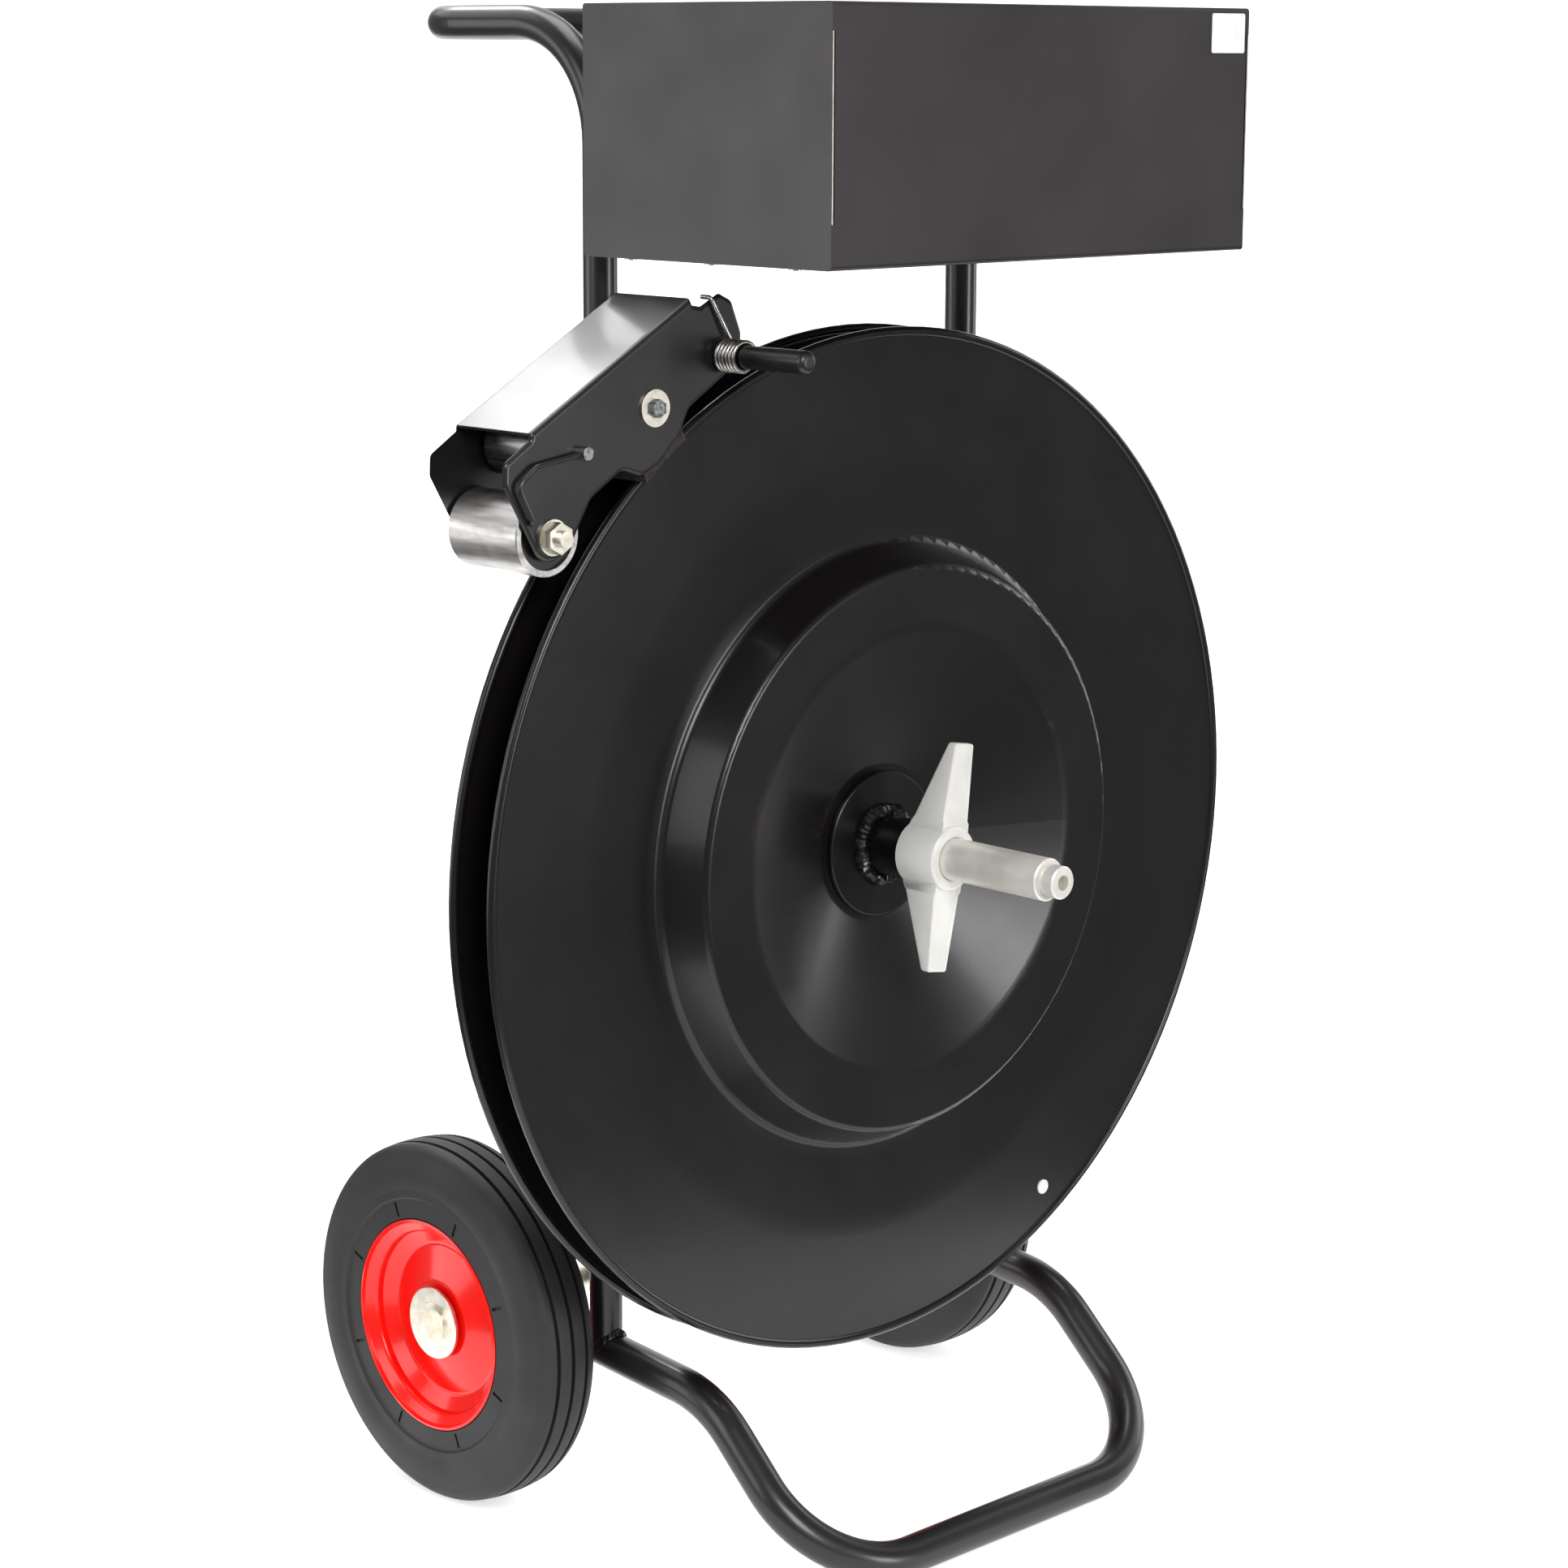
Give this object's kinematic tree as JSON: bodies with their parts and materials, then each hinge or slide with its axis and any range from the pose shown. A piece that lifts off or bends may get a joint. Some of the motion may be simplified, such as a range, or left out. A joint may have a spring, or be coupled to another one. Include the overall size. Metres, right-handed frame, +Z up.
{
  "type": "strapping coil dispenser cart",
  "caption": "Two-wheeled cart with an open toolbox, a large two-flange reel for strapping coils, a sprung brake head with guide rollers and a loop foot.",
  "frame": {"origin": "centre of the overall footprint, on the floor", "axes": "+Z up, -Y towards the reel's loading side, +X to the right of someone facing the reel"},
  "size_m": [0.6879, 0.48, 1.003],
  "materials": {
    "black_paint": "semi-gloss powder coat",
    "tyre_rubber": "solid moulded rubber",
    "red_paint": "gloss stove enamel",
    "zinc_plate": "zinc plated",
    "spring_steel": "drawn wire",
    "roller_steel": "turned steel tube",
    "satin_aluminium": "satin",
    "spindle_steel": "turned and oiled",
    "bearing_steel": "ground",
    "white_nylon": "moulded",
    "black_plastic": "moulded",
    "sintered_bronze": "sintered",
    "brake_lining": "friction block",
    "label_film": "printed film, blank"
  },
  "bodies": {
    "frame": {"foot_loop": "black_paint", "foot_plugs": "black_plastic", "handle_loop": "black_paint", "axle": "zinc_plate", "axle_spacers": "zinc_plate", "wheel_washers": "zinc_plate", "wheel_bolts": "zinc_plate", "upper_crossbar": "black_paint", "lower_crossbar": "black_paint", "carrier_plate": "black_paint", "bearing_housing": "black_paint", "bearing_outer_rings": "bearing_steel", "bearing_balls": "bearing_steel", "pivot_boss": "black_paint", "pivot_washer": "black_plastic", "pivot_pin": "black_plastic", "pivot_sleeve": "black_plastic", "torsion_spring": "spring_steel", "toolbox_tray": "black_paint", "toolbox_left_side": "black_paint", "toolbox_right_side": "black_paint", "toolbox_rivets": "zinc_plate", "toolbox_bolts": "zinc_plate", "toolbox_nuts": "zinc_plate", "blank_label": "label_film"},
    "reel": {"spindle": "spindle_steel", "bearing_inner_rings": "bearing_steel", "bearing_spacer": "spindle_steel", "spindle_washer": "zinc_plate", "spindle_lock_nut": "zinc_plate", "rear_flange": "black_paint", "rear_hub": "black_paint", "hub_pin": "zinc_plate"},
    "front_flange": {"front_flange": "black_paint", "front_hub": "black_paint", "flange_plug": "white_nylon"},
    "wing_nut": {"wing_nut": "white_nylon", "wing_nut_insert": "sintered_bronze"},
    "brake_head": {"head_channel": "black_paint", "pivot_bushes": "black_plastic", "brake_block": "brake_lining", "brake_bolt": "zinc_plate", "brake_washer": "zinc_plate", "brake_nut": "zinc_plate", "upper_axle": "zinc_plate", "lower_axle": "zinc_plate", "lower_axle_washer": "zinc_plate", "lower_axle_nut": "zinc_plate", "clip_wire": "spring_steel"},
    "upper_roller": {"upper_roller": "roller_steel", "upper_roller_ends": "black_plastic"},
    "lower_roller": {"lower_roller": "satin_aluminium", "lower_roller_ends": "black_plastic"},
    "left_wheel": {"left_tyre": "tyre_rubber", "left_rim": "red_paint", "left_hub_bushes": "white_nylon"},
    "right_wheel": {"right_tyre": "tyre_rubber", "right_rim": "red_paint", "right_hub_bushes": "white_nylon"}
  },
  "joints": [
    {"name": "reel_turn", "type": "hinge", "parent": "frame", "child": "reel", "pos_m": [0, 0, 0.4555], "axis": [0, 1, 0], "continuous": true},
    {"name": "front_flange_slide", "type": "slide", "parent": "reel", "child": "front_flange", "axis": [0, -1, 0], "range_m": [0, 0.084]},
    {"name": "wing_nut_turn", "type": "hinge", "parent": "front_flange", "child": "wing_nut", "pos_m": [0, -0.1275, 0.4555], "axis": [0, 1, 0], "continuous": true},
    {"name": "brake_head_swing", "type": "hinge", "parent": "frame", "child": "brake_head", "pos_m": [-0.166, -0.061, 0.791], "axis": [0, 1, 0], "range_deg": [0, 28], "stiffness_Nm_per_rad": 1, "springref_deg": -20.05, "deforming": ["torsion_spring"]},
    {"name": "upper_roller_turn", "type": "hinge", "parent": "brake_head", "child": "upper_roller", "pos_m": [-0.28025, -0.061, 0.73889], "axis": [0, 1, 0], "continuous": true},
    {"name": "lower_roller_turn", "type": "hinge", "parent": "brake_head", "child": "lower_roller", "pos_m": [-0.30286, -0.061, 0.69005], "axis": [0, 1, 0], "continuous": true},
    {"name": "left_wheel_turn", "type": "hinge", "parent": "frame", "child": "left_wheel", "pos_m": [-0.216, 0.115, 0.125], "axis": [1, 0, 0], "continuous": true},
    {"name": "right_wheel_turn", "type": "hinge", "parent": "frame", "child": "right_wheel", "pos_m": [0.216, 0.115, 0.125], "axis": [1, 0, 0], "continuous": true}
  ]
}
